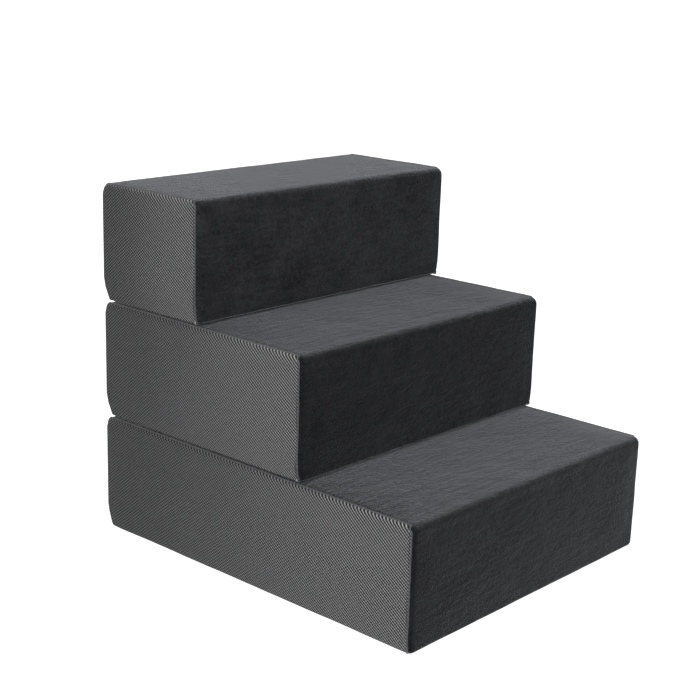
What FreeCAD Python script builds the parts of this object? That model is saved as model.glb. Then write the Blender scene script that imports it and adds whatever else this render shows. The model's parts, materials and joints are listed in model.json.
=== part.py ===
import FreeCAD, Part
import Sketcher
import os
import re

# Three foam steps in washable covers, hinged to each other by fabric along their rear edges.
# X runs across the steps, the steps face -Y, Z is up and the floor is at Z = 0.
# Every piece of a block is laid out from the middle of the block's lower rear edge.

document = FreeCAD.newDocument("FoamPetStairs")
sheet = document.addObject("Spreadsheet::Sheet", "Sizes")

# Driving dimensions in millimetres: alias, value and what it measures.
sizes = [
    ("stairWidth", 400.0, "across the steps, over the side panels"),
    ("baseDepth", 466.0, "lowest block, front to rear"),
    ("middleDepth", 312.0, "middle block, front to rear"),
    ("topDepth", 158.0, "highest block, front to rear"),
    ("blockHeight", 134.0, "each block in its cover"),
    ("noseRadius", 8.0, "rounding where a riser turns into its tread"),
    ("plushThick", 2.0, "velour on the riser and the tread"),
    ("meshThick", 3.0, "spacer mesh on the sides"),
    ("meshRim", 1.2, "softened outer rim of a side panel"),
    ("rearThick", 2.0, "fabric above and below the zip"),
    ("undersideThick", 1.5, "fabric under a block"),
    ("foamEase", 0.4, "extra rounding of the foam inside the nose of its cover"),
    ("hookThick", 1.0, "hook strip"),
    ("loopThick", 1.0, "loop strip"),
    ("stripWidth", 25.0, "hook or loop strip, front to rear"),
    ("stripInset", 22.0, "from the front or rear of the upper block to a strip"),
    ("stripMargin", 30.0, "from the side of a block to the end of a strip"),
    ("hingeThick", 1.2, "fabric hinge"),
    ("hingeLap", 20.0, "part of a fabric hinge that is sewn to one block"),
    ("hingeMargin", 22.0, "from the side of a block to the end of a fabric hinge"),
    ("zipRise", 67.0, "from the bottom of a block to the middle of its zip"),
    ("openingEase", 0.7, "from the slider to each rear panel"),
    ("zipMargin", 26.0, "from the side of a block to the end of its zip coils"),
    ("tapeThick", 0.6, "woven zip tape"),
    ("tapeWidth", 12.0, "woven zip tape, across the zip"),
    ("coilWidth", 2.4, "one zip coil, across the zip"),
    ("coilThick", 2.2, "zip coil, outwards from its tape"),
    ("coilSplit", 1.4, "between the two coils, where the slider's post runs"),
    ("stopLength", 3.0, "end stop, along the zip"),
    ("stopOverlap", 0.4, "end stop beyond the coils, above and below"),
    ("sliderLength", 11.0, "slider, along the zip"),
    ("sliderPlate", 0.9, "outer and inner plates of the slider"),
    ("sliderClear", 0.3, "from the slider to the tape, the coils, the stops and the foam"),
    ("flangeClear", 0.7, "from a coil to a turned-in edge of the slider"),
    ("flangeThick", 0.7, "turned-in edges of the slider's outer plate"),
    ("flangeDepth", 1.2, "how far the turned-in edges reach"),
    ("postLength", 2.4, "post between the slider's plates, along the zip"),
    ("postWidth", 0.7, "post between the slider's plates, across the zip"),
    ("postInset", 1.0, "from the leading end of the slider to its post"),
    ("bailLength", 9.0, "bail that holds the pull tab, along the zip"),
    ("bailWidth", 2.0, "bail, across the zip"),
    ("bailThick", 0.6, "outer bar of the bail"),
    ("bailFoot", 1.1, "each foot of the bail, along the zip"),
    ("pullClear", 0.4, "from the pull tab to the slider"),
    ("pullThick", 1.0, "pull tab and its round bar"),
    ("pullLength", 26.0, "pull tab, from its bar to its tip"),
    ("pullHeight", 7.0, "pull tab, across the zip"),
    ("pullNeck", 6.4, "window of the pull tab, from its bar"),
]
for row, (alias, value, meaning) in enumerate(sizes, start=1):
    sheet.set(f"A{row}", meaning)
    sheet.set(f"B{row}", str(value))
    sheet.setAlias(f"B{row}", alias)
document.recompute()

# Lengths and places that follow from the driving dimensions.
stackGap = "(hookThick + loopThick)"
panelWidth = "(stairWidth - 2 * meshThick)"
foamHeight = "(blockHeight - plushThick - undersideThick)"
coilLength = "(stairWidth - 2 * zipMargin)"
coilTop = "(coilThick - rearThick)"
plateTop = f"({coilTop} + sliderClear + sliderPlate)"
pullMiddle = f"({plateTop} + pullClear + pullThick / 2)"
bailUnder = f"({plateTop} + 2 * pullClear + pullThick)"
zipProud = f"({bailUnder} + bailThick)"
sliderHeight = "(coilSplit + 2 * (coilWidth + flangeClear + flangeThick))"
zipOpening = f"({sliderHeight} + 2 * openingEase)"
rearPlane = f"(baseDepth - {zipProud}) / 2"
sliderPlace = f"(({coilLength} - sliderLength) / 2 - sliderClear)"

nodes = []  # the finished sub-parts, in the order they are made


def scoped(expression):
    """An expression over the sheet's aliases, as a document expression."""
    return re.sub(r"[A-Za-z]\w*", r"Sizes.\g<0>", expression)


def number(expression):
    """The present value of an expression over the sheet's aliases."""
    return float(sheet.evalExpression(scoped(expression)))


def bind(thing, property, expression):
    thing.setExpression(property, scoped(expression))


def place(thing, corner, frame=("0", "0", "0")):
    """Put a piece at a corner that is counted from a block's frame."""
    for axis, own, shared in zip("xyz", corner, frame):
        bind(thing, f"Placement.Base.{axis}", f"{own} + {shared}")


def finish(thing, label):
    thing.Label = label
    nodes.append(thing)


def box(name, extent, corner, frame=("0", "0", "0")):
    made = document.addObject("Part::Box", name)
    for property, expression in zip(("Length", "Width", "Height"), extent):
        bind(made, property, expression)
    place(made, corner, frame)
    return made


def group(name, members, frame):
    """Like pieces of one kind, kept apart as separate solids."""
    made = document.addObject("Part::Compound", name)
    made.Links = members
    place(made, ("0", "0", "0"), frame)
    return made


def newBody(name, corner, frame):
    made = document.addObject("PartDesign::Body", name)
    place(made, corner, frame)
    return made


def sketchOn(body, name, role):
    made = body.newObject("Sketcher::SketchObject", name)
    plane = next(feature for feature in body.Origin.OriginFeatures if feature.Role == role)
    made.AttachmentSupport = (plane, "")
    made.MapMode = "FlatFace"
    return made


def outline(sketch, points, lengths):
    """A closed outline of level and upright lines; lengths maps a line's number to its length."""
    corners = [FreeCAD.Vector(number(across), number(up), 0) for across, up in points]
    for start, end in zip(corners, corners[1:] + corners[:1]):
        sketch.addGeometry(Part.LineSegment(start, end), False)
    count = len(corners)
    for line in range(count):
        following = (line + 1) % count
        sketch.addConstraint(Sketcher.Constraint("Coincident", line, 2, following, 1))
        level = abs(corners[line].y - corners[following].y) < 1e-6
        sketch.addConstraint(Sketcher.Constraint("Horizontal" if level else "Vertical", line))
    for line, expression in lengths.items():
        length = Sketcher.Constraint("Distance", line, number(expression))
        index = sketch.addConstraint(length)
        sketch.renameConstraint(index, f"length{line}")
        sketch.setExpression(f"Constraints.length{line}", scoped(expression))


def pinToOrigin(sketch, line):
    """Hold the first end of a line at the sketch's origin."""
    sketch.addConstraint(Sketcher.Constraint("Coincident", line, 1, -1, 1))


def padAcross(body, sketch, length, symmetric=False):
    made = body.newObject("PartDesign::Pad", f"{sketch.Name}Pad")
    made.Profile = sketch
    made.SideType = "Symmetric" if symmetric else "One side"
    bind(made, "Length", length)
    document.recompute()
    return made


def roundEdges(body, name, radius, wanted):
    """Fillet the edges of a body whose end points all answer to wanted."""
    before = body.Tip
    chosen = [
        f"Edge{index}"
        for index, edge in enumerate(before.Shape.Edges, start=1)
        if all(wanted(vertex.Point) for vertex in edge.Vertexes)
    ]
    made = body.newObject("PartDesign::Fillet", name)
    made.Base = (before, chosen)
    bind(made, "Radius", radius)
    document.recompute()
    return made


def pocketBehind(body, label, span, height, middle, depth):
    """A level pocket in the rear face of a foam block, around a height of middle."""
    sketch = sketchOn(body, label, "XZ_Plane")
    low = f"({middle} - {height} / 2)"
    corners = [(f"-{span} / 2", low), (f"{span} / 2", low)]
    corners += [(f"{span} / 2", f"{low} + {height}"), (f"-{span} / 2", f"{low} + {height}")]
    outline(sketch, corners, {0: span, 1: height})
    half = f"{span} / 2"
    for name, ends, expression in (
        ("reach", ("DistanceX", 0, 1, -1, 1), half),
        ("rise", ("DistanceY", -1, 1, 0, 1), low),
    ):
        index = sketch.addConstraint(Sketcher.Constraint(*ends, number(expression)))
        sketch.renameConstraint(index, name)
        sketch.setExpression(f"Constraints.{name}", scoped(expression))
    made = body.newObject("PartDesign::Pocket", f"{label}Pocket")
    made.Profile = sketch
    made.Reversed = True
    bind(made, "Length", depth)
    before = made.BaseFeature.Shape.Volume
    document.recompute()
    if body.Shape.Volume > before - number(f"{span} * {height} * {depth}") / 2:
        raise RuntimeError(f"{label} cuts nothing")


def foamCore(block, depth, frame):
    """The block of polyurethane foam, relieved at the rear for the zip."""
    corner = ("0", "-rearThick", "undersideThick")
    body = newBody(f"{block}_foam_core", corner, frame)
    profile = sketchOn(body, f"{block}FoamSide", "YZ_Plane")
    long = f"({depth} - plushThick - rearThick)"
    points = [("0", "0"), (f"-{long}", "0"), (f"-{long}", foamHeight), ("0", foamHeight)]
    outline(profile, points, {0: long, 1: foamHeight})
    pinToOrigin(profile, 0)
    padAcross(body, profile, panelWidth, symmetric=True)
    front, high = -number(long), number(foamHeight)
    roundEdges(
        body,
        f"{block}FoamNose",
        "noseRadius - plushThick + foamEase",
        lambda point: abs(point.y - front) < 1e-4 and abs(point.z - high) < 1e-4,
    )
    middle = "(zipRise - undersideThick)"
    tapes = "(coilSplit + 2 * tapeWidth)"
    channel = f"({sliderHeight} + 2 * sliderClear)"
    deep = "(tapeThick + sliderPlate + 2 * sliderClear)"
    pocketBehind(body, f"{block}TapeRelief", panelWidth, tapes, middle, "tapeThick")
    pocketBehind(body, f"{block}SliderChannel", coilLength, channel, middle, deep)
    finish(body, f"{block}_foam_core")


def plushWrap(block, depth, frame):
    """One strip of velour over the riser and the tread, round at the nose."""
    body = newBody(f"{block}_plush_wrap", ("0", "0", "0"), frame)
    profile = sketchOn(body, f"{block}WrapSide", "YZ_Plane")
    front = f"-{depth}"
    inner = f"-{depth} + plushThick"
    under = "blockHeight - plushThick"
    points = [("0", "blockHeight"), (front, "blockHeight"), (front, "0")]
    points += [(inner, "0"), (inner, under), ("0", under)]
    outline(profile, points, {0: depth, 1: "blockHeight", 2: "plushThick", 5: "plushThick"})
    profile.addConstraint(Sketcher.Constraint("PointOnObject", 0, 1, -2))
    profile.addConstraint(Sketcher.Constraint("PointOnObject", 2, 1, -1))
    padAcross(body, profile, panelWidth, symmetric=True)
    for name, y, z, radius in (
        ("Outer", front, "blockHeight", "noseRadius"),
        ("Inner", inner, under, "noseRadius - plushThick"),
    ):
        there = number(y), number(z)
        roundEdges(
            body,
            f"{block}Wrap{name}Nose",
            radius,
            lambda point: abs(point.y - there[0]) < 1e-4 and abs(point.z - there[1]) < 1e-4,
        )
    finish(body, f"{block}_plush_wrap")


def meshPanel(block, depth, frame, side):
    """A side panel of spacer mesh, as high and deep as its block."""
    outer = "0" if side == "left" else "meshThick"
    corner = ("-stairWidth / 2" if side == "left" else "stairWidth / 2 - meshThick", "0", "0")
    body = newBody(f"{block}_{side}_mesh_panel", corner, frame)
    profile = sketchOn(body, f"{block}{side.title()}MeshSide", "YZ_Plane")
    points = [("0", "0"), (f"-{depth}", "0"), (f"-{depth}", "blockHeight"), ("0", "blockHeight")]
    outline(profile, points, {0: depth, 1: "blockHeight"})
    pinToOrigin(profile, 0)
    padAcross(body, profile, "meshThick")
    front, high, face = -number(depth), number("blockHeight"), number(outer)
    roundEdges(
        body,
        f"{block}{side.title()}MeshNose",
        "noseRadius",
        lambda point: abs(point.y - front) < 1e-4 and abs(point.z - high) < 1e-4,
    )
    roundEdges(
        body,
        f"{block}{side.title()}MeshRim",
        "meshRim",
        lambda point: abs(point.x - face) < 1e-4,
    )
    finish(body, f"{block}_{side}_mesh_panel")


def flatPanels(block, depth, frame):
    """The underside, and the rear panels above and below the zip."""
    edge = f"-{panelWidth} / 2"
    low = f"(zipRise - {zipOpening} / 2)"
    high = f"(zipRise + {zipOpening} / 2)"
    under = box(
        f"{block}_underside_panel",
        (panelWidth, f"{depth} - plushThick - rearThick", "undersideThick"),
        (edge, f"plushThick - {depth}", "0"),
        frame,
    )
    finish(under, f"{block}_underside_panel")
    below = (panelWidth, "rearThick", low)
    finish(
        box(f"{block}_lower_rear_panel", below, (edge, "-rearThick", "0"), frame),
        f"{block}_lower_rear_panel",
    )
    above = (panelWidth, "rearThick", f"blockHeight - plushThick - {high}")
    finish(
        box(f"{block}_upper_rear_panel", above, (edge, "-rearThick", high), frame),
        f"{block}_upper_rear_panel",
    )


def zipFixed(block, frame):
    """The two tapes, the two coils and the end stops."""
    tape = (panelWidth, "tapeThick", "tapeWidth")
    inside = "-rearThick - tapeThick"
    for side, height in (
        ("upper", "zipRise + coilSplit / 2"),
        ("lower", "zipRise - coilSplit / 2 - tapeWidth"),
    ):
        name = f"{block}_{side}_zip_tape"
        finish(box(name, tape, (f"-{panelWidth} / 2", inside, height), frame), name)
    coil = (coilLength, "coilThick", "coilWidth")
    coils = [
        box(f"{block}UpperCoil", coil, (f"-{coilLength} / 2", "-rearThick", height))
        for height in ("zipRise + coilSplit / 2", "zipRise - coilSplit / 2 - coilWidth")
    ]
    finish(group(f"{block}_zip_coils", coils, frame), f"{block}_zip_coils")
    reach = "(coilSplit / 2 + coilWidth + stopOverlap)"
    stop = ("stopLength", "coilThick", f"2 * {reach}")
    stops = [
        box(f"{block}Stop", stop, (across, "-rearThick", f"zipRise - {reach}"))
        for across in (f"{coilLength} / 2", f"-{coilLength} / 2 - stopLength")
    ]
    finish(group(f"{block}_zip_stops", stops, frame), f"{block}_zip_stops")


def zipMoving(block, frame):
    """The slider, closed at the right, and the pull tab that lies back along the coils."""
    at = (sliderPlace, "0", "zipRise")
    centre = [f"{own} + {shared}" for own, shared in zip(at, frame)]
    outerPlate = f"({coilTop} + sliderClear)"
    innerPlate = "(-rearThick - tapeThick - sliderClear)"
    plate = ("sliderLength", "sliderPlate", sliderHeight)
    start = ("-sliderLength / 2", outerPlate, f"-{sliderHeight} / 2")
    pieces = [
        box(f"{block}OuterPlate", plate, start),
        box(f"{block}InnerPlate", plate, (start[0], f"{innerPlate} - sliderPlate", start[2])),
        box(
            f"{block}Post",
            ("postLength", f"{outerPlate} - {innerPlate}", "postWidth"),
            ("sliderLength / 2 - postInset - postLength", innerPlate, "-postWidth / 2"),
        ),
        box(
            f"{block}Bail",
            ("bailLength", "bailThick", "bailWidth"),
            ("-bailLength / 2", bailUnder, "-bailWidth / 2"),
        ),
    ]
    for height in (start[2], f"{sliderHeight} / 2 - flangeThick"):
        flange = ("sliderLength", "flangeDepth", "flangeThick")
        corner = (start[0], f"{outerPlate} - flangeDepth", height)
        pieces.append(box(f"{block}Flange", flange, corner))
    for across in ("-bailLength / 2", "bailLength / 2 - bailFoot"):
        foot = ("bailFoot", f"{bailUnder} - {plateTop}", "bailWidth")
        pieces.append(box(f"{block}BailFoot", foot, (across, plateTop, "-bailWidth / 2")))
    slider = document.addObject("Part::MultiFuse", f"{block}_zip_slider")
    slider.Shapes = pieces
    slider.Refine = True
    place(slider, centre)
    finish(slider, f"{block}_zip_slider")

    tab = document.addObject("Part::Cut", f"{block}PullTab")
    tab.Base = box(
        f"{block}PullPlate",
        ("pullLength", "pullThick", "pullHeight"),
        ("-pullLength", f"{pullMiddle} - pullThick / 2", "-pullHeight / 2"),
    )
    tab.Tool = box(
        f"{block}PullWindow",
        ("pullNeck", "pullThick", "bailWidth + 2 * pullClear"),
        ("-pullNeck", f"{pullMiddle} - pullThick / 2", "-bailWidth / 2 - pullClear"),
    )
    bar = document.addObject("Part::Cylinder", f"{block}PullBar")
    bind(bar, "Radius", "pullThick / 2")
    bind(bar, "Height", "pullHeight")
    place(bar, ("0", pullMiddle, "-pullHeight / 2"))
    pull = document.addObject("Part::MultiFuse", f"{block}_zip_pull")
    pull.Shapes = [tab, bar]
    pull.Refine = True
    place(pull, centre)
    finish(pull, f"{block}_zip_pull")


def fasteningStrips(lower, upper, upperDepth, frame):
    """Loop strips on the lower tread and hook strips under the upper block, face to face."""
    strip = "(stairWidth - 2 * stripMargin)"
    rows = ("-stripInset - stripWidth", f"stripInset - {upperDepth}")
    for node, thick, height in (
        (f"{lower}_loop_strips", "loopThick", f"-{stackGap}"),
        (f"{upper}_hook_strips", "hookThick", "-hookThick"),
    ):
        members = [
            box(f"{node}Row", (strip, "stripWidth", thick), (f"-{strip} / 2", row, height))
            for row in rows
        ]
        finish(group(node, members, frame), node)


def fabricHinge(node, frame):
    """A strip of webbing over the joint, sewn to the rear of the block above and below."""
    extent = ("stairWidth - 2 * hingeMargin", "hingeThick", f"2 * hingeLap + {stackGap}")
    corner = ("hingeMargin - stairWidth / 2", "0", f"-hingeLap - {stackGap}")
    finish(box(node, extent, corner, frame), node)


blocks = [("base", "baseDepth"), ("middle", "middleDepth"), ("top", "topDepth")]
frames = {}
for level, (block, depth) in enumerate(blocks):
    frame = ("0", rearPlane, f"{level} * (blockHeight + {stackGap})")
    frames[block] = frame
    foamCore(block, depth, frame)
    plushWrap(block, depth, frame)
    meshPanel(block, depth, frame, "left")
    meshPanel(block, depth, frame, "right")
    flatPanels(block, depth, frame)
    zipFixed(block, frame)
    zipMoving(block, frame)
fasteningStrips("base", "middle", "middleDepth", frames["middle"])
fasteningStrips("middle", "top", "topDepth", frames["top"])
fabricHinge("lower_fabric_hinge", frames["middle"])
fabricHinge("upper_fabric_hinge", frames["top"])
document.recompute()

faults = [
    f"{thing.Name}: {thing.State}"
    for thing in document.Objects
    if {"Invalid", "Error"} & set(thing.State)
]
faults += [
    f"{node.Label}: no valid solid"
    for node in nodes
    if node.Shape.isNull() or not node.Shape.isValid() or not node.Shape.Solids
]
if faults:
    raise RuntimeError("; ".join(faults))

os.makedirs("parts", exist_ok=True)
for node in nodes:
    node.Shape.exportStep(f"parts/{node.Label}.step")
print(len(nodes), "sub-parts written")
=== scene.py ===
import json
import math

import bmesh
import bpy
from mathutils import Matrix, Vector, kdtree, noise


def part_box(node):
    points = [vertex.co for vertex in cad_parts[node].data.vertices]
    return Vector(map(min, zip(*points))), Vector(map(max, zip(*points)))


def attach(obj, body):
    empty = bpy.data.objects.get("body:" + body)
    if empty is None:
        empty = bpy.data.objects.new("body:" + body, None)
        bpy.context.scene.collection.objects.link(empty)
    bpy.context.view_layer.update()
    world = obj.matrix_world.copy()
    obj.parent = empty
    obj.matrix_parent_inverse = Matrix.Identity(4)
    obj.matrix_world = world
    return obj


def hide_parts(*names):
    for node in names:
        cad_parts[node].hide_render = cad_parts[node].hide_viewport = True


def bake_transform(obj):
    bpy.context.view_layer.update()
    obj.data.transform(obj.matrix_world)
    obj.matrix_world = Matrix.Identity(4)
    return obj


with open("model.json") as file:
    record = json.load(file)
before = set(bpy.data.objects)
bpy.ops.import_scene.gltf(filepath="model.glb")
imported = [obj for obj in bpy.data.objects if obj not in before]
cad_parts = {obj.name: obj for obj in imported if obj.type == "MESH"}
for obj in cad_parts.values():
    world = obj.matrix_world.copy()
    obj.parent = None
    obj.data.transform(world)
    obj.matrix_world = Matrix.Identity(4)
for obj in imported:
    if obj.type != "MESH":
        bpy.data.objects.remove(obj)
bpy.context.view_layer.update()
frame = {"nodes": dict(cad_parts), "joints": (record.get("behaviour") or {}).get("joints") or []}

mm = 0.001
blocks = ["base", "middle", "top"]
print("frame loaded:", len(frame["nodes"]), "nodes")

# ---- camera, lights and floor

view = {
    "azimuth": -47.97,     # degrees, from the left of the steps
    "elevation": 15.29,
    "roll": 1.74,
    "place": (-1.2103, -1.0557, 0.6619),
    "lens": 75.4,
    "sensor": 36.0,
}


def makeCamera():
    turn, rise, roll = (math.radians(view[k]) for k in ("azimuth", "elevation", "roll"))
    back = Vector((
        math.sin(turn) * math.cos(rise),
        -math.cos(turn) * math.cos(rise),
        math.sin(rise),
    ))
    right = (-back).cross(Vector((0, 0, 1))).normalized()
    up = right.cross(-back)
    across = math.cos(roll) * right + math.sin(roll) * up
    above = math.cos(roll) * up - math.sin(roll) * right
    data = bpy.data.cameras.new("camera")
    data.lens = view["lens"]
    data.sensor_width = view["sensor"]
    data.clip_end = 200
    camera = bpy.data.objects.new("camera", data)
    camera.matrix_world = Matrix.Translation(view["place"]) @ Matrix(
        (across, above, back)
    ).transposed().to_4x4()
    bpy.context.scene.collection.objects.link(camera)
    bpy.context.scene.camera = camera


studio = {
    "world": 0.26,
    "lamps": [
        # name, place, what it aims at, size, watts
        ("overhead softbox", (0.1, 1.15, 2.6), (0, 0.1, 0.3), 1.4, 44),
        ("left softbox", (-2.4, -0.9, 1.3), (0, 0, 0.2), 1.4, 24),
        ("front fill", (-1.6, -2.8, 0.45), (0, 0, 0.2), 1.0, 56),
        ("rear fill", (0.8, 3.0, 1.1), (0, 0, 0.2), 1.6, 24),
    ],
    "floorSize": 120.0,
}


def makeStudio():
    scene = bpy.context.scene
    scene.view_settings.view_transform = "Standard"
    world = bpy.data.worlds.new("studio")
    world.use_nodes = True
    sky = world.node_tree.nodes["Background"]
    sky.inputs["Color"].default_value = (1, 1, 1, 1)
    sky.inputs["Strength"].default_value = studio["world"]
    scene.world = world
    for name, place, aim, size, watts in studio["lamps"]:
        data = bpy.data.lights.new(name, "AREA")
        data.size = size
        data.energy = watts
        lamp = bpy.data.objects.new(name, data)
        lamp.location = place
        lamp.rotation_euler = (Vector(aim) - Vector(place)).to_track_quat("-Z", "Y").to_euler()
        scene.collection.objects.link(lamp)


# ---- shader sums

class Wire:
    # a node's output, with sums that add Math nodes
    def __init__(self, finish, socket):
        self.finish = finish
        self.socket = socket

    def sum(self, operation, first, second=0.0):
        return self.finish.add("ShaderNodeMath", {"operation": operation}, {0: first, 1: second})

    def __add__(self, other):
        return self.sum("ADD", self, other)

    def __sub__(self, other):
        return self.sum("SUBTRACT", self, other)

    def __rsub__(self, other):
        return self.sum("SUBTRACT", other, self)

    def __mul__(self, other):
        return self.sum("MULTIPLY", self, other)

    __radd__ = __add__

    def cosine(self):
        return self.sum("COSINE", self)

    def between(self, low, high):
        # 0 below low, 1 above high, smooth between
        steps = {0: self, 1: low, 2: high, 3: 0.0, 4: 1.0}
        return self.finish.add("ShaderNodeMapRange", {"interpolation_type": "SMOOTHSTEP"}, steps)


class Finish:
    # one material and the nodes that make it
    def __init__(self, name, fixed):
        self.material = bpy.data.materials.new(name)
        self.material.use_nodes = True
        self.tree = self.material.node_tree
        self.shader = self.tree.nodes["Principled BSDF"]
        for socket, value in fixed.items():
            self.shader.inputs[socket].default_value = value

    def add(self, kind, settings=None, inputs=None, output=0):
        node = self.tree.nodes.new(kind)
        for name, value in (settings or {}).items():
            setattr(node, name, value)
        for name, value in (inputs or {}).items():
            self.feed(node.inputs[name], value)
        return Wire(self, node.outputs[output])

    def feed(self, socket, value):
        if isinstance(value, Wire):
            self.tree.links.new(value.socket, socket)
        elif isinstance(value, tuple) and len(value) == 3 and socket.type == "RGBA":
            socket.default_value = (*value, 1)
        else:
            socket.default_value = value

    def place(self):
        # in the piece's own frame
        return self.add("ShaderNodeTexCoord", output="Object")

    def apart(self, place):
        # X, Y and Z of a place
        return [self.add("ShaderNodeSeparateXYZ", None, {0: place}, axis) for axis in range(3)]

    def stretched(self, place, scale):
        return self.add("ShaderNodeMapping", None, {"Vector": place, "Scale": scale})

    def speckle(self, place, scale, detail=2.0, roughness=0.5):
        values = {"Vector": place, "Scale": scale, "Detail": detail, "Roughness": roughness}
        return self.add("ShaderNodeTexNoise", None, values)

    def tint(self, factor, first, second):
        values = {0: factor, 6: first, 7: second}
        return self.add("ShaderNodeMix", {"data_type": "RGBA"}, values, 2)

    def relief(self, height, depth):
        values = {"Height": height, "Distance": depth}
        self.feed(self.shader.inputs["Normal"], self.add("ShaderNodeBump", None, values))

    def colour(self, value):
        self.feed(self.shader.inputs["Base Color"], value)

    def roughness(self, value):
        self.feed(self.shader.inputs["Roughness"], value)


def plushFinish(block, tone, sheen):
    made = Finish(f"charcoal velour {block}", {
        "Sheen Weight": sheen,
        "Sheen Roughness": 0.32,
        "Sheen Tint": (0.64, 0.665, 0.71, 1),
        "Specular IOR Level": 0.08,
    })
    place = made.place()
    cloud = made.speckle(place, 24.0, 3.0, 0.6)
    # the nap lies across the step
    brushed = made.speckle(made.stretched(place, (30.0, 160.0, 160.0)), 1.0, 3.0, 0.65)
    streak = made.speckle(made.stretched(place, (38.0, 150.0, 150.0)), 1.0, 3.0, 0.65)
    clump = made.speckle(place, 190.0, 4.0, 0.75)
    tuft = made.speckle(place, 380.0, 3.0, 0.7)
    fibre = made.speckle(place, 1400.0, 2.0, 0.8)
    shade = cloud * 0.2 + brushed * 0.18 + clump * 0.22 + tuft * 0.25 + fibre * 0.15
    dark = tuple(c * tone for c in (0.0035, 0.0036, 0.0041))
    light = tuple(c * tone for c in (0.026, 0.0265, 0.029))
    made.colour(made.tint(shade.between(0.33, 0.68), dark, light))
    made.roughness(0.85 + tuft * 0.15)
    made.relief(streak * 1.3 + clump * 0.5 + tuft * 0.35 + fibre * 0.4, 0.95 * mm)
    return made.material


def meshFinish(block, front, rear):
    made = Finish(f"spacer mesh {block}", {
        "Sheen Weight": 0.2,
        "Sheen Roughness": 0.5,
        "Sheen Tint": (0.8, 0.81, 0.83, 1),
        "Specular IOR Level": 0.3,
    })
    place = made.place()
    _, y, z = made.apart(place)
    sway = made.speckle(place, 9.0, 1.0) - 0.5
    along = (y + sway * (3.0 * mm)) * (2 * math.pi / (4.7 * mm))
    upward = (z + sway * (2.0 * mm)) * (2 * math.pi / (3.6 * mm))
    rising = (along - upward).cosine()                   # the yarn that carries the knots
    falling = (along + upward).cosine()                  # the finer one that crosses it
    loose = made.speckle(place, 600.0, 2.0, 0.6)
    wear = made.speckle(place, 16.0, 2.0, 0.5)
    drawn = y.between(rear, front)                       # painted light: 0 at the rear and 1 at the front, where the light falls
    # painted light: the knots stand out more toward the front
    knit = rising * (0.3 + drawn * 0.7) + falling * (0.3 - drawn * 0.05)
    yarn = (knit * (0.75 + wear * 0.5) + (loose - 0.5) * 0.6).between(-0.35, 0.95)
    # painted light: the yarn is made lighter toward the front and darker toward the rear
    light = yarn * (0.62 + drawn * 0.38)
    made.colour(made.tint(light, (0.008, 0.008, 0.0085), (0.36, 0.36, 0.365)))
    made.roughness(0.9 - yarn * 0.3)
    made.relief(yarn * 0.85 + loose * 0.15, 0.8 * mm)
    return made.material


def wovenFinish(name, dark, light, pitch, relief=0.25 * mm):
    # plain weave, seen square on to the rear, the underside or the tape
    made = Finish(name, {"Specular IOR Level": 0.3, "Sheen Weight": 0.15})
    place = made.place()
    x, y, z = made.apart(place)
    turns = math.pi / pitch
    over = (x * turns).cosine() * ((y + z) * turns).cosine()
    fuzz = made.speckle(place, 900.0, 2.0, 0.6)
    patch = made.speckle(place, 12.0, 2.0, 0.5)
    thread = (over * 0.5 + 0.5) * 0.6 + fuzz * 0.3 + patch * 0.3
    made.colour(made.tint(thread.between(0.15, 0.95), dark, light))
    made.roughness(0.75 + fuzz * 0.2)
    made.relief(thread, relief)
    return made.material


def plainFinish(name, dark, light, grain, roughness, fixed=None, relief=0.05 * mm):
    # moulded or painted surface with a fine grain and rubbed patches
    made = Finish(name, fixed or {})
    place = made.place()
    fine = made.speckle(place, grain, 3.0, 0.6)
    rubbed = made.speckle(place, grain / 12, 2.0, 0.6)
    made.colour(made.tint(fine * 0.5 + rubbed * 0.5, dark, light))
    made.roughness(roughness + (rubbed - 0.5) * 0.3)
    made.relief(fine, relief)
    return made.material


def floorFinish():
    made = Finish("pale floor", {
        "Base Color": (0.35, 0.35, 0.35, 1),
        "Emission Color": (1, 1, 1, 1),
        "Emission Strength": 0.96,
        "Specular IOR Level": 0.0,
        "Roughness": 1.0,
    })
    return made.material


finishes = {
    # the welt is a real raised edge, but its colour, several times lighter than the velour, is a painted
    # highlight along it
    "welt": plainFinish("seam welt", (0.02, 0.02, 0.021), (0.11, 0.11, 0.114), 1300.0, 0.9,
                        {"Sheen Weight": 0.6}, 0.2 * mm),
    "rear": wovenFinish("rear cloth", (0.012, 0.012, 0.013), (0.075, 0.076, 0.08), 0.9 * mm),
    "underside": wovenFinish("underside cloth", (0.006, 0.006, 0.007), (0.024, 0.024, 0.026), 1.1 * mm),
    "grip": plainFinish("grip rubber", (0.010, 0.010, 0.011), (0.028, 0.028, 0.03), 900.0, 0.6),
    "tape": wovenFinish("zip tape", (0.006, 0.006, 0.007), (0.026, 0.026, 0.028), 0.5 * mm),
    "webbing": wovenFinish("hinge webbing", (0.010, 0.010, 0.011), (0.06, 0.06, 0.064), 1.5 * mm),
    "thread": wovenFinish("sewing thread", (0.008, 0.008, 0.009), (0.05, 0.05, 0.052), 0.4 * mm),
    "coil": plainFinish("zip coil", (0.012, 0.012, 0.013), (0.03, 0.03, 0.032), 700.0, 0.4),
    "metal": plainFinish(
        "black zip metal", (0.02, 0.02, 0.021), (0.07, 0.07, 0.073), 500.0, 0.35, {"Metallic": 0.6}
    ),
    "foam": plainFinish("upholstery foam", (0.55, 0.52, 0.42), (0.75, 0.72, 0.6), 600.0, 0.9,
                        {"Specular IOR Level": 0.1}, 0.4 * mm),
    "hook": plainFinish("hook tape", (0.005, 0.005, 0.006), (0.03, 0.03, 0.032), 1500.0, 0.5,
                        None, 0.5 * mm),
    "loop": plainFinish("loop tape", (0.008, 0.008, 0.009), (0.035, 0.035, 0.038), 1100.0, 0.85,
                        None, 0.6 * mm),
}
velours = {"base": (0.8, 1.05), "middle": (0.8, 0.77), "top": (1.5, 0.72)}     # tone, sheen
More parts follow.
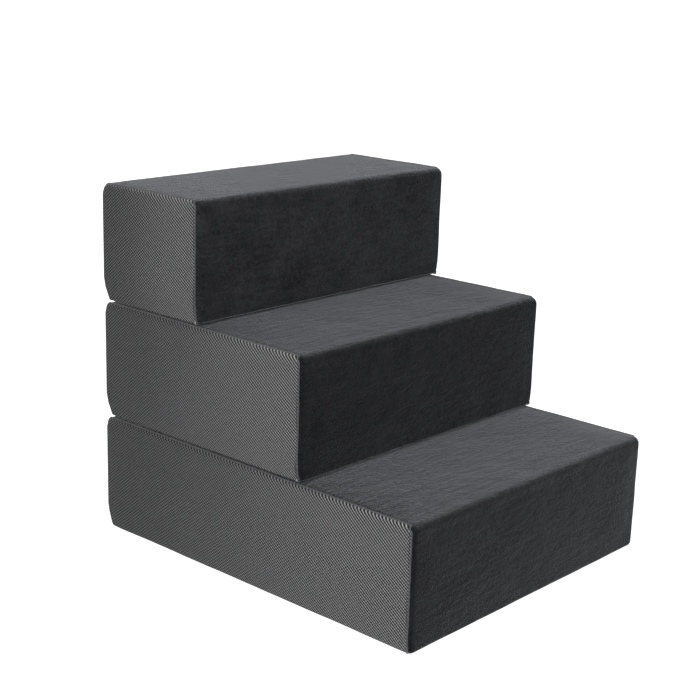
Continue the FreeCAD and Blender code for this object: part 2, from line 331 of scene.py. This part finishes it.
for block in blocks:
    low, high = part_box(f"{block}_left_mesh_panel")
    finishes[f"{block} plush"] = plushFinish(block, *velours[block])
    finishes[f"{block} mesh"] = meshFinish(block, low.y, high.y)


def makeFloor():
    mesh = bpy.data.meshes.new("floor")
    bm = bmesh.new()
    bmesh.ops.create_grid(bm, x_segments=1, y_segments=1, size=studio["floorSize"] / 2)
    bm.to_mesh(mesh)
    bm.free()
    floor = bpy.data.objects.new("floor", mesh)
    mesh.materials.append(floorFinish())
    bpy.context.scene.collection.objects.link(floor)
    floor.visible_diffuse = floor.visible_glossy = False   # bright, but it doesn't light the risers


makeCamera()
makeStudio()
makeFloor()
print("camera, lights and floor")


# ---- shared mesh work

def between(first, last, step):
    count = max(1, round((last - first) / step))
    return [first + (last - first) * i / count for i in range(count + 1)]


def newPiece(name, bm, material, body, nodes=()):
    mesh = bpy.data.meshes.new(name)
    bm.to_mesh(mesh)
    bm.free()
    mesh.materials.append(material)
    mesh.shade_smooth()
    piece = bpy.data.objects.new(name, mesh)
    bpy.context.scene.collection.objects.link(piece)
    if body:
        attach(piece, body)
    if nodes:
        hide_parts(*nodes)
    return piece


def rounded(piece, width):
    bevel = piece.modifiers.new("rounded edges", "BEVEL")
    bevel.width = width
    bevel.segments = 2
    bevel.limit_method = "ANGLE"


def capsule():
    # a stitch, 1 long and 1 thick
    bm = bmesh.new()
    bmesh.ops.create_uvsphere(bm, u_segments=6, v_segments=5, radius=0.5)
    return template(bm)


def template(bm):
    mesh = bpy.data.meshes.new("template")
    bmesh.ops.recalc_face_normals(bm, faces=bm.faces[:])
    bm.to_mesh(mesh)
    bm.free()
    return mesh


def scatter(bm, mesh, places):
    # adds the template to bm once for each placement
    for place in places:
        copy = mesh.copy()
        copy.transform(place)
        bm.from_mesh(copy)
        bpy.data.meshes.remove(copy)


def standingGrid(size, columns, rows):
    # a sheet across the rear, about the origin
    bm = bmesh.new()
    bmesh.ops.create_grid(bm, x_segments=columns, y_segments=rows, size=0.5)
    upright = Matrix(((1, 0, 0, 0), (0, 0, -1, 0), (0, 1, 0, 0), (0, 0, 0, 1)))
    bmesh.ops.transform(bm, matrix=Matrix.Diagonal((size.x, 1, size.z, 1)) @ upright, verts=bm.verts[:])
    return bm


def cadCopy(node):
    # a CAD node's mesh, merged and cleaned so that its edges can be rounded
    bm = bmesh.new()
    bm.from_mesh(frame["nodes"][node].data)
    bmesh.ops.remove_doubles(bm, verts=bm.verts[:], dist=0.01 * mm)
    flat = math.radians(1)
    bmesh.ops.dissolve_limit(bm, angle_limit=flat, verts=bm.verts[:], edges=bm.edges[:])
    return bm


# ---- the cover of a block

cover = {
    "noseRadius": 8 * mm,       # riser to tread
    "footRadius": 6 * mm,       # riser to underside
    "rearTopRadius": 6 * mm,
    "rearFootRadius": 6 * mm,
    "sideRadius": 4.4 * mm,     # riser, tread and rear to the side
    "wrapOver": 0.7,            # how far round that the mesh reaches, but for the riser
    "grid": 10 * mm,
    "fuller": {                 # than the CAD block, below and above on each axis
        "base": ((1.0 * mm, 1.6 * mm, 0), (1.0 * mm, 0, -0.4 * mm)),
        "middle": ((1.0 * mm, 1.6 * mm, 0), (1.6 * mm, 0, -0.4 * mm)),
        "top": ((2.0 * mm, 1.6 * mm, 0), (2.4 * mm, 0.4 * mm, -0.4 * mm)),
    },
    "hem": 3.5 * mm,            # how far the underside cloth climbs the riser
    "rearHem": 14 * mm,         # how far the velour comes down the rear
    "flank": 1.2 * mm,          # loops beside a seam
    "dip": 0.9 * mm,            # depth of a seam
    "pressure": 4.0,
    "frames": 20,
    "voxel": 6 * mm,
    "mostSwell": 2.2 * mm,
    "zipEnd": 20 * mm,
}
panelMarks = {"plush": 1, "left": 2, "right": 3, "under": 4, "lowerRear": 5, "upperRear": 6, "zip": 7}


def blockBox(block):
    parts = [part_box(f"{block}_{part}") for part in ("plush_wrap", "left_mesh_panel", "right_mesh_panel")]
    low = Vector([min(part[0][axis] for part in parts) for axis in range(3)])
    high = Vector([max(part[1][axis] for part in parts) for axis in range(3)])
    return low, high


def cut(bm, axis, place):
    normal = Vector([float(axis == i) for i in range(3)])
    everything = bm.verts[:] + bm.edges[:] + bm.faces[:]
    bmesh.ops.bisect_plane(
        bm, geom=everything, dist=0.02 * mm, plane_co=normal * place, plane_no=normal
    )


def coverForm(low, high, opening):
    bm = bmesh.new()
    bmesh.ops.create_grid(bm, x_segments=1, y_segments=1, size=0.5)
    size = high - low
    upright = Matrix(((0, 0, 1, 0), (1, 0, 0, 0), (0, 1, 0, 0), (0, 0, 0, 1)))
    fit = Matrix.Diagonal((1, size.y, size.z, 1))
    centre = Matrix.Translation((low.x, (low.y + high.y) / 2, (low.z + high.z) / 2))
    bmesh.ops.transform(bm, matrix=centre @ fit @ upright, verts=bm.verts[:])
    for y, z, radius in (
        (low.y, high.z, cover["noseRadius"]),
        (low.y, low.z, cover["footRadius"]),
        (high.y, high.z, cover["rearTopRadius"]),
        (high.y, low.z, cover["rearFootRadius"]),
    ):
        corner = min(bm.verts, key=lambda v: (v.co - Vector((low.x, y, z))).length)
        bmesh.ops.bevel(
            bm, geom=[corner], offset=radius, offset_type="OFFSET", segments=5,
            profile=0.5, affect="VERTICES", material=-1, clamp_overlap=True,
        )
    made = bmesh.ops.extrude_face_region(bm, geom=bm.faces[:])
    far = [v for v in made["geom"] if isinstance(v, bmesh.types.BMVert)]
    bmesh.ops.translate(bm, vec=(size.x, 0, 0), verts=far)
    bmesh.ops.recalc_face_normals(bm, faces=bm.faces[:])
    rim = [e for e in bm.edges if abs(e.verts[0].co.x - e.verts[1].co.x) < 0.01 * mm]
    bmesh.ops.bevel(
        bm, geom=rim, offset=cover["sideRadius"], offset_type="OFFSET", segments=4,
        profile=0.5, affect="EDGES", material=-1, clamp_overlap=True,
    )
    sides = [f for f in bm.faces if abs(f.normal.x) > 0.999 and len(f.verts) > 8]
    bmesh.ops.inset_region(bm, faces=sides, thickness=cover["flank"], use_even_offset=True)
    step, flank = cover["grid"], cover["flank"]
    for x in between(low.x + cover["sideRadius"], high.x - cover["sideRadius"], step)[1:-1]:
        cut(bm, 0, x)
    for y in between(low.y + cover["noseRadius"], high.y - cover["rearFootRadius"], step):
        cut(bm, 1, y)
    for z in between(low.z + cover["rearFootRadius"], high.z - cover["rearTopRadius"], step):
        cut(bm, 2, z)
    for z in (low.z + cover["hem"], high.z - cover["rearHem"], *opening):
        for beside in (-flank, 0, flank):
            cut(bm, 2, z + beside)
    for x in (low.x + cover["zipEnd"], high.x - cover["zipEnd"]):
        for beside in (-flank, 0, flank):
            cut(bm, 0, x + beside)
    bmesh.ops.remove_doubles(bm, verts=bm.verts[:], dist=0.15 * mm)
    bmesh.ops.recalc_face_normals(bm, faces=bm.faces[:])
    return bm


def markPanels(bm, low, high, opening):
    marks = bm.faces.layers.int.new("panel")
    radius, nose = cover["sideRadius"], cover["noseRadius"]
    for face in bm.faces:
        at = face.calc_center_median()
        toSide = min(at.x - low.x, high.x - at.x)
        front = at.y < low.y + radius or (at.y < low.y + nose and at.z > high.z - nose)
        behind = at.y > high.y - cover["rearFootRadius"]
        if toSide < 0.01 * mm or (toSide < radius * cover["wrapOver"] and not front):
            name = "left" if at.x < 0 else "right"
        elif at.z < low.z + cover["hem"] and not behind:
            name = "under"
        elif behind and at.z < high.z - cover["rearHem"]:
            name = "rear"
        else:
            name = "plush"
        if name == "rear":           # the zip's own place stays open
            midway = min(at.x - low.x, high.x - at.x) > cover["zipEnd"]
            name = "upperRear" if at.z > opening[0] else "lowerRear"
            if midway and opening[0] < at.z < opening[1]:
                name = "zip"
        face[marks] = panelMarks[name]


def swell(bm, low, high):
    # blow the form up as cloth, held along its corners, and return how far each place moved
    mesh = bpy.data.meshes.new("pillow")
    bm.to_mesh(mesh)
    pillow = bpy.data.objects.new("pillow", mesh)
    scene = bpy.context.scene
    scene.collection.objects.link(pillow)
    remesh = pillow.modifiers.new("even", "REMESH")
    remesh.mode = "VOXEL"
    remesh.voxel_size = cover["voxel"]
    dg = bpy.context.evaluated_depsgraph_get()
    even = bpy.data.meshes.new_from_object(pillow.evaluated_get(dg))
    pillow.modifiers.clear()
    pillow.data = even
    before = [v.co.copy() for v in even.vertices]
    held = pillow.vertex_groups.new(name="held")
    reach = 1.6 * cover["voxel"]
    for v in even.vertices:
        close = [min(v.co[i] - low[i], high[i] - v.co[i]) < reach for i in range(3)]
        if sum(close) > 1:
            held.add([v.index], 1.0, "REPLACE")
    cloth = pillow.modifiers.new("cloth", "CLOTH")
    cloth.settings.quality = 4
    cloth.settings.use_pressure = True
    cloth.settings.uniform_pressure_force = cover["pressure"]
    cloth.settings.effector_weights.gravity = 0
    cloth.settings.vertex_group_mass = "held"
    for number in range(1, cover["frames"] + 1):
        scene.frame_set(number)
    dg = bpy.context.evaluated_depsgraph_get()
    after = [v.co.copy() for v in pillow.evaluated_get(dg).data.vertices]
    pillow.modifiers.clear()
    scene.frame_set(1)
    bpy.data.objects.remove(pillow)
    tree = kdtree.KDTree(len(before))
    for index, place in enumerate(before):
        tree.insert(place, index)
    tree.balance()
    most = cover["mostSwell"]

    def moved(place):
        total, weight = Vector(), 0.0
        for _, index, distance in tree.find_n(place, 6):
            share = 1 / (distance + 1 * mm) ** 2
            total += (after[index] - before[index]) * share
            weight += share
        total /= weight
        far = total.length
        return total * (most * math.tanh(far / most) / far) if far > 1e-9 else total

    return moved


def ease(distance, reach):
    # 1 at the edge, falling smoothly to 0 at reach
    t = min(max(distance / reach, 0.0), 1.0)
    return (1 - t) ** 2 * (1 + 2 * t)


shaping = {
    "sideFoot": ((3.0 * mm, 20 * mm), (1.2 * mm, 12 * mm)),   # how far the sides draw in, over what height
    "sideHead": (1.2 * mm, 10 * mm),
    "rearFoot": (6.5 * mm, 26 * mm),
    "rearHead": (4.5 * mm, 12 * mm),
    "sideReach": 30 * mm,                # how far in from the side and the rear the drawing in fades away
    "rearReach": 40 * mm,
    "waves": 0.45 * mm,
    "rearWaves": 0.3,                    # share of the waves, and of the swelling, on the flat rear
    "rearSwell": 0.2,
    "clear": 0.8 * mm,                   # the underside, above the bottom of its box
    "flat": (0.35, 11 * mm),             # the foot is pressed flatter than it is round
    "sag": 1.8 * mm,                     # and the edge of an upper block settles toward the velour below
    "sagReach": 16 * mm,
    "skin": 1 * mm,                      # what counts as the underside or the tread
    "strips": 8 * mm,                    # behind the riser above, where the tread carries loop strips
}


def shapeForm(block, bm, low, high):
    moved = swell(bm, low, high)
    bm.normal_update()
    normals = {v: v.normal.copy() for v in bm.verts}
    seed = Vector((blocks.index(block) * 7.3, 0.0, 0.0))
    if block != "top":
        above = blocks[blocks.index(block) + 1]
        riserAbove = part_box(f"{above}_plush_wrap")[0].y + shaping["strips"]
    for v in bm.verts:
        start = v.co.copy()
        up, down = start.z - low.z, high.z - start.z
        rear = normals[v].y > 0.5
        if moved:
            v.co += moved(start) * (shaping["rearSwell"] if rear else 1.0)
        wave = noise.noise(start * 22 + seed) + 0.5 * noise.noise(start * 60 + seed)
        v.co += normals[v] * wave * shaping["waves"] * (shaping["rearWaves"] if rear else 1.0)
        toSide = min(start.x - low.x, high.x - start.x)
        inward = 1 if start.x < 0 else -1
        foot = shaping["sideFoot"][block == "base"]
        draw = foot[0] * ease(up, foot[1])
        draw += shaping["sideHead"][0] * ease(down, shaping["sideHead"][1])
        v.co.x += inward * draw * ease(toSide, shaping["sideReach"])
        toRear = high.y - start.y
        nearRear = ease(toRear, shaping["rearReach"])
        share, reach = shaping["flat"]
        if block != "top":
            v.co.z += down * (1 - share) * ease(down, reach) * nearRear
        draw = shaping["rearFoot"][0] * ease(up, shaping["rearFoot"][1])
        draw += shaping["rearHead"][0] * ease(down, shaping["rearHead"][1])
        v.co.y -= draw * nearRear
        v.co.z -= up * (1 - share) * ease(up, reach)
        inside = min(start.y - low.y, toSide, toRear)
        if block != "base":
            v.co.z -= shaping["sag"] * ease(inside, shaping["sagReach"]) * ease(up, shaping["sideReach"])
            if up < shaping["skin"] and inside > shaping["sagReach"]:
                v.co.z = start.z                 # the hook strips lie flat here
        if block != "top" and down < shaping["skin"] and start.y > riserAbove:
            v.co.z = min(v.co.z, start.z)        # and the loop strips here
        else:
            v.co.z = max(v.co.z, low.z + shaping["clear"])
    bm.normal_update()
    marks = bm.faces.layers.int["panel"]
    seams = [v for v in bm.verts if len({f[marks] for f in v.link_faces}) > 1]
    lifted = {v: v.normal.copy() for v in seams}
    for v in seams:
        v.co -= lifted[v] * cover["dip"]


panels = [
    # mark, sub-part, thickness, finish, slot
    ("plush", "plush_wrap", 2.0 * mm, "plush", "plush"),
    ("left", "left_mesh_panel", 3.0 * mm, "mesh", "spacer_mesh"),
    ("right", "right_mesh_panel", 3.0 * mm, "mesh", "spacer_mesh"),
    ("under", "underside_panel", 1.5 * mm, "underside", "underside_cloth"),
    ("lowerRear", "lower_rear_panel", 1.5 * mm, "rear", "rear_cloth"),
    ("upperRear", "upper_rear_panel", 1.5 * mm, "rear", "rear_cloth"),
]


def makePanels(block, bm):
    for mark, part, thickness, finish, slot in panels:
        panel = bm.copy()
        layer = panel.faces.layers.int["panel"]
        others = [f for f in panel.faces if f[layer] != panelMarks[mark]]
        bmesh.ops.delete(panel, geom=others, context="FACES")
        area = sum(f.calc_area() for f in panel.faces)
        places = [v.co for v in panel.verts]
        longest = max(max(p[i] for p in places) - min(p[i] for p in places) for i in range(3))
        if block == "base" and mark == "under":
            slot = "grip_underside"
        if finish in ("plush", "mesh"):
            finish = f"{block} {finish}"
        node = f"{block}_{part}"
        piece = newPiece(f"{node}_cloth", panel, finishes[finish], f"{block}_block", [node])
        smooth = piece.modifiers.new("smooth", "SUBSURF")
        smooth.levels = smooth.render_levels = 1
        wall = piece.modifiers.new("thickness", "SOLIDIFY")
        wall.thickness = thickness
        wall.offset = -1
        area / longest


def makeFoam(block, bm):
    foam = bm.copy()
    for axis, inset in enumerate((6 * mm, 6 * mm, 5 * mm)):      # clear of the cover on every side
        places = [v.co[axis] for v in foam.verts]
        middle, span = (max(places) + min(places)) / 2, max(places) - min(places)
        for v in foam.verts:
            v.co[axis] = middle + (v.co[axis] - middle) * (1 - 2 * inset / span)
    piece = newPiece(
        f"{block}_foam", foam, finishes["foam"], f"{block}_block", [f"{block}_foam_core"]
    )


seam = {
    "welt": 0.7 * mm,           # half the thickness of the seam's raised edge
    "stand": 0.85 * mm,         # its middle, from the bottom of the seam
    "stitch": 3.8 * mm,         # pitch
    "stitchLength": 2.3 * mm,
    "stitchThick": 0.9 * mm,
    "stitchInset": 2.0 * mm,    # from the seam, on the mesh
    "stitchLift": 0.85 * mm,
}


def seamLoop(bm, mark):
    # the edge of a panel in order, with the way out of the panel's surface at each place
    layer = bm.faces.layers.int["panel"]
    edges = [e for e in bm.edges if len([f for f in e.link_faces if f[layer] == mark]) == 1]
    unused, loop = dict.fromkeys(edges), []              # keeps its order, so every run starts at one place
    while unused:
        edge, _ = unused.popitem()
        here, run = edge.verts[1], [edge.verts[0]]
        while here != run[0]:
            onward = [e for e in here.link_edges if e in unused]
            if not onward:
                break
            heading = (here.co - run[-1].co).normalized()
            run.append(here)
            edge = max(onward, key=lambda e: (e.other_vert(here).co - here.co).normalized().dot(heading))
            del unused[edge]
            here = edge.other_vert(here)
        if len(run) > len(loop):
            loop = run
    return [(v.co.copy(), v.normal.copy()) for v in loop]


def makeWelt(block, side, loop):
    curve = bpy.data.curves.new("welt", "CURVE")
    curve.dimensions = "3D"
    curve.bevel_depth = seam["welt"]
    curve.bevel_resolution = 2
    line = curve.splines.new("POLY")
    line.points.add(len(loop) - 1)
    line.use_cyclic_u = True
    for point, (place, out) in zip(line.points, loop):
        point.co = (*(place + out * seam["stand"]), 1)
    drawn = bpy.data.objects.new("welt", curve)
    bpy.context.scene.collection.objects.link(drawn)
    dg = bpy.context.evaluated_depsgraph_get()
    bm = bmesh.new()
    bm.from_mesh(bpy.data.meshes.new_from_object(drawn.evaluated_get(dg)))
    bpy.data.objects.remove(drawn)
    bmesh.ops.recalc_face_normals(bm, faces=bm.faces[:])
    newPiece(f"{block}_{side}_seam_welt", bm, finishes["welt"], f"{block}_block", ())


def makeStitches(block, side, loop, centre):
    shape = Matrix.Diagonal((seam["stitchLength"], seam["stitchThick"], seam["stitchThick"], 1))
    travelled, wanted = 0.0, 0.0
    places = []
    for (here, out), (there, _) in zip(loop, loop[1:] + loop[:1]):
        along = (there - here).normalized()
        length = (there - here).length
        lift = Vector((math.copysign(1, out.x), 0, 0))
        across = along.cross(lift).normalized()
        turn = Matrix((along, lift.cross(along).normalized(), lift)).transposed().to_4x4()
        while length > 1e-6 and wanted < travelled + length:
            place = here + along * (wanted - travelled)
            if across.dot(centre - place) < 0:
                across = -across
            place += across * seam["stitchInset"] + lift * seam["stitchLift"]
            places.append(Matrix.Translation(place) @ turn @ shape)
            wanted += seam["stitch"]
        travelled += length
    bm = bmesh.new()
    scatter(bm, capsule(), places)
    newPiece(f"{block}_{side}_stitching", bm, finishes["thread"], f"{block}_block", ())


def makeSeams(block, bm, low, high):
    for side in ("left", "right"):
        loop = seamLoop(bm, panelMarks[side])
        makeWelt(block, side, loop)
        makeStitches(block, side, loop, (low + high) / 2)


for block in blocks:
    low, high = blockBox(block)
    below, above = cover["fuller"][block]
    low, high = low - Vector(below), high + Vector(above)
    opening = (
        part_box(f"{block}_lower_rear_panel")[1].z,
        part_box(f"{block}_upper_rear_panel")[0].z,
    )
    form = coverForm(low, high, opening)
    markPanels(form, low, high, opening)
    shapeForm(block, form, low, high)
    makeFoam(block, form)
    makePanels(block, form)
    makeSeams(block, form, low, high)
    print(block, "cover:", len(form.faces), "faces")
    form.free()

# ---- rear: hinges, zips

hinge = {
    "ease": 0.3 * mm,           # how far the webbing stands off the rear cloth
    "thick": 1.2 * mm,
    "bend": 7 * mm,             # half of what turns, from the joint
    "follow": 0.55,             # share of the hollow between two blocks that the webbing follows
    "waves": 0.25 * mm,
    "stitch": 3.2 * mm,
    "stitchSize": (2.2 * mm, 0.7 * mm, 0.7 * mm),
    "stitchLift": 0.1 * mm,
    "edge": 3 * mm,             # rows of stitching, from the webbing's edge
}


def rearOffset(z, joint):
    # how far the rear is drawn in at a height, near the joint between two blocks
    above, below = z - joint, joint - z
    if above > 0:
        return shaping["rearFoot"][0] * ease(above, shaping["rearFoot"][1])
    return shaping["rearHead"][0] * ease(below, shaping["rearHead"][1])


def stitchRow(bm, start, end, pitch, size, out):
    count = max(1, round((end - start).length / pitch))
    along = (end - start).normalized()
    turn = Matrix((along, out.cross(along), out)).transposed().to_4x4()
    shape = turn @ Matrix.Diagonal((*size, 1))
    middles = [start.lerp(end, (i + 0.5) / count) for i in range(count)]
    scatter(bm, capsule(), [Matrix.Translation(middle) @ shape for middle in middles])


def makeHinge(node, joint, under, over):
    low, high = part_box(node)
    height = next(j["pos_m"][2] for j in frame["joints"] if j["name"] == joint)
    size, middle = high - low, (low + high) / 2
    bm = standingGrid(size, 60, 28)
    for v in bm.verts:
        v.co += Vector((middle.x, 0, middle.z))
        pull = hinge["follow"] * rearOffset(v.co.z, height)
        v.co.y = low.y - pull + hinge["ease"] + hinge["waves"] * noise.noise(v.co * 40)
    bmesh.ops.recalc_face_normals(bm, faces=bm.faces[:])
    if sum(f.normal.y for f in bm.faces) > 0:
        bmesh.ops.reverse_faces(bm, faces=bm.faces[:])
    bmesh.ops.solidify(bm, geom=bm.faces[:], thickness=hinge["thick"])
    bmesh.ops.recalc_face_normals(bm, faces=bm.faces[:])
    piece = newPiece(f"{node}_webbing", bm, finishes["webbing"], None, [node])
    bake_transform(piece)
    for body, edge in ((under, low.z + hinge["edge"]), (over, high.z - hinge["edge"])):
        rows = bmesh.new()
        y = low.y + hinge["thick"] + hinge["ease"] + hinge["stitchLift"]
        y -= hinge["follow"] * rearOffset(edge, height)
        ends = [Vector((x, y, edge)) for x in (low.x + hinge["edge"], high.x - hinge["edge"])]
        stitchRow(rows, *ends, hinge["stitch"], hinge["stitchSize"], Vector((0, 1, 0)))
        newPiece(f"{node}_{body}_stitching", rows, finishes["thread"], f"{body}_block", ())


makeHinge("lower_fabric_hinge", "lower_fold", "base", "middle")
makeHinge("upper_fabric_hinge", "upper_fold", "middle", "top")
print("hinges")

teeth = {
    "pitch": 2.1 * mm,
    "wire": 0.36 * mm,
    "meet": 0.5 * mm,           # how far the two sides' loops pass each other
    "lean": 14,                 # degrees
}
tape = {"waves": 0.12 * mm, "thick": 0.45 * mm}


def tooth(height, depth):
    # one turn of the coil, round the X axis
    bm = bmesh.new()
    bmesh.ops.create_circle(bm, segments=5, radius=teeth["wire"])
    across = Matrix.Rotation(math.pi / 2, 4, "X")
    out = Matrix.Translation((0, 0, height / 2 - teeth["wire"]))
    bmesh.ops.transform(bm, matrix=out @ across, verts=bm.verts[:])
    bmesh.ops.spin(
        bm, geom=bm.edges[:], cent=(0, 0, 0), axis=(1, 0, 0), angle=2 * math.pi,
        steps=10, use_merge=True, use_duplicate=False,
    )
    bmesh.ops.transform(bm, matrix=Matrix.Diagonal((1, depth / height, 1, 1)), verts=bm.verts[:])
    bmesh.ops.remove_doubles(bm, verts=bm.verts[:], dist=0.01 * mm)
    return template(bm)


def makeCoils(block):
    low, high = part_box(f"{block}_zip_coils")
    middle = (low + high) / 2
    height = (high.z - low.z) / 2 + teeth["meet"]
    one = tooth(height, high.y - low.y)
    bm, places = bmesh.new(), []
    count = round((high.x - low.x) / teeth["pitch"])
    for side in (-1, 1):
        lean = Matrix.Rotation(math.radians(teeth["lean"] * side), 4, "Y")
        z = middle.z + side * (high.z - middle.z - height / 2)
        for i in range(count - 1):
            x = low.x + (i + 0.75 + side * 0.25) * teeth["pitch"]
            places.append(Matrix.Translation((x, middle.y, z)) @ lean)
    scatter(bm, one, places)
    newPiece(
        f"{block}_coil_teeth", bm, finishes["coil"], f"{block}_block", [f"{block}_zip_coils"]
    )


def makeTape(block, level):
    node = f"{block}_{level}_zip_tape"
    low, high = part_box(node)
    size, middle = high - low, (low + high) / 2
    bm = standingGrid(size, 80, 4)
    for v in bm.verts:
        v.co += Vector((middle.x, 0, middle.z))
        v.co.y = high.y - tape["waves"] * (1 + noise.noise(v.co * 90))
    bmesh.ops.recalc_face_normals(bm, faces=bm.faces[:])
    if sum(f.normal.y for f in bm.faces) < 0:
        bmesh.ops.reverse_faces(bm, faces=bm.faces[:])
    bmesh.ops.solidify(bm, geom=bm.faces[:], thickness=-tape["thick"])
    bmesh.ops.recalc_face_normals(bm, faces=bm.faces[:])
    piece = newPiece(f"{node}_cloth", bm, finishes["tape"], f"{block}_block", [node])


for block in blocks:
    makeCoils(block)
    for level in ("lower", "upper"):
        makeTape(block, level)
    for part, body in (("zip_stops", "block"), ("zip_slider", "slider"), ("zip_pull", "pull")):
        node = f"{block}_{part}"
        metal = newPiece(f"{node}_cast", cadCopy(node), finishes["metal"], f"{block}_{body}",
                         [node])
        metal.data.shade_flat()
        rounded(metal, 0.18 * mm)
print("zips")

# ---- between the blocks, and under the base

strips = {
    "pitch": 2.2 * mm,          # of the hooks
    "hookSize": (0.5 * mm, 0.5 * mm, 0.8 * mm),
    "hook": 0.35 * mm,          # how far the face of the hook tape stands off its cover
    "loop": 0.6 * mm,
    "backing": 0.35 * mm,
}


def halves(node):
    # the two strips of a node, front and rear
    low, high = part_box(node)
    piece = frame["nodes"][node]
    depths = [(piece.matrix_world @ v.co).y for v in piece.data.vertices]
    middle = (low.y + high.y) / 2
    inner = max(y for y in depths if y < middle), min(y for y in depths if y > middle)
    yield "front", low, Vector((high.x, inner[0], high.z))
    yield "rear", Vector((low.x, inner[1], low.z)), high


def makeStrip(node, block, kind):
    facing = 1 if kind == "loop" else -1
    pile = strips[kind]
    for side, low, high in halves(node):
        size = high - low
        middle = (low + high) / 2
        back = low.z if facing > 0 else high.z
        bm = bmesh.new()
        bmesh.ops.create_grid(bm, x_segments=200, y_segments=14, size=0.5)
        place = Matrix.Translation((middle.x, middle.y, back))
        shape = Matrix.Diagonal((size.x, size.y, 1, 1))
        bmesh.ops.transform(bm, matrix=place @ shape, verts=bm.verts[:])
        for v in bm.verts:
            v.co.z += facing * pile * (1.0 + 0.5 * noise.noise(v.co * 700))
        if facing < 0:
            bmesh.ops.reverse_faces(bm, faces=bm.faces[:])
        bmesh.ops.solidify(bm, geom=bm.faces[:], thickness=-strips["backing"])
        bmesh.ops.recalc_face_normals(bm, faces=bm.faces[:])
        name = f"{node}_{side}"
        piece = newPiece(name, bm, finishes[kind], f"{block}_block", [node])
        if kind == "hook":
            makeHooks(name, block, low, high, back - pile - strips["hookSize"][2] * 0.4)


def makeHooks(name, block, low, high, z):
    bm = bmesh.new()
    bmesh.ops.create_cone(bm, cap_ends=True, segments=3, radius1=0.5, radius2=0.25, depth=1)
    one, bm = template(bm), bmesh.new()
    pitch = strips["pitch"]
    across, along = (between(low[i], high[i], pitch)[:-1] for i in (0, 1))
    down = Matrix.Rotation(math.pi, 4, "X") @ Matrix.Diagonal((*strips["hookSize"], 1))
    scatter(bm, one, [
        Matrix.Translation((x + pitch / 2, y + pitch * (0.75 if i % 2 else 0.25), z)) @ down
        for i, x in enumerate(across) for y in along
    ])
    newPiece(f"{name}_hooks", bm, finishes["hook"], f"{block}_block", ())


makeStrip("base_loop_strips", "base", "loop")
makeStrip("middle_loop_strips", "middle", "loop")
makeStrip("middle_hook_strips", "middle", "hook")
makeStrip("top_hook_strips", "top", "hook")

grip = {"pitch": 16 * mm, "radius": 2.5 * mm, "height": 1.6 * mm, "margin": 22 * mm}


def makeGrip():
    low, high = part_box("base_underside_panel")
    bm = bmesh.new()
    bmesh.ops.create_cone(bm, cap_ends=True, segments=12, radius1=1.0, radius2=0.6, depth=1)
    one, bm = template(bm), bmesh.new()
    rows = between(low.y + grip["margin"], high.y - grip["margin"], grip["pitch"])
    columns = between(low.x + grip["margin"], high.x - grip["margin"], grip["pitch"])
    down = Matrix.Rotation(math.pi, 4, "X")
    shape = down @ Matrix.Diagonal((grip["radius"], grip["radius"], grip["height"], 1))
    scatter(bm, one, [
        Matrix.Translation((x, y + grip["pitch"] / 2 * (i % 2), low.z + grip["height"] / 2)) @ shape
        for i, x in enumerate(columns) for y in (rows[:-1] if i % 2 else rows)
    ])
    newPiece("base_grip_dots", bm, finishes["grip"], "base_block", ())


makeGrip()
print("strips and grip dots")
